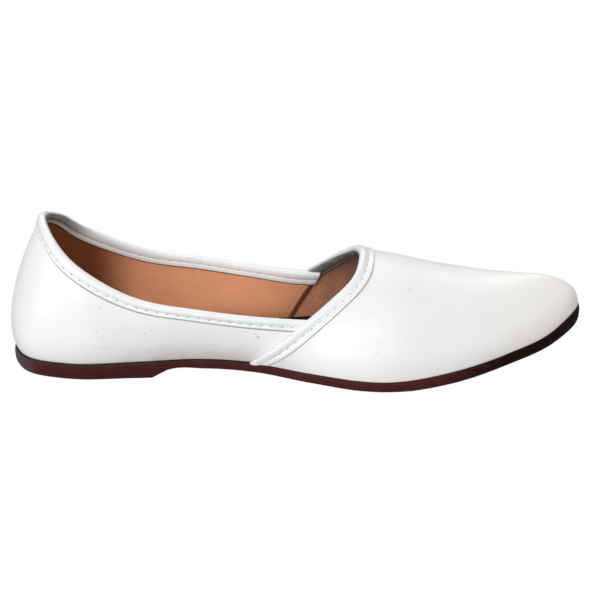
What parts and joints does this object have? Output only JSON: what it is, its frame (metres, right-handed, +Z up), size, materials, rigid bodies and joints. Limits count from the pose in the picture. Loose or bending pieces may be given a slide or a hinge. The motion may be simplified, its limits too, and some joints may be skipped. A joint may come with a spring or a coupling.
{
  "type": "mojari",
  "caption": "Low slip-on mojari of plain white leather with a lapped vamp, bound collar and throat, tan lining and a thin dark sole with low heel and upturned toe.",
  "frame": {"origin": "middle of the shoe's length and width, on the floor that it stands on", "axes": "+X to the toe, +Y to the inner side of the foot, +Z up"},
  "size_m": [0.2852, 0.0932, 0.0776],
  "materials": {
    "upper": "smooth white leather, satin",
    "binding": "folded white leather strip, satin",
    "insole": "tan lining leather, matt",
    "outsole": "dark maroon moulded sole, matt"
  },
  "bodies": {
    "root": {"upper": "upper", "collar_binding": "binding", "throat_binding": "binding", "insole": "insole", "outsole": "outsole"}
  },
  "joints": []
}
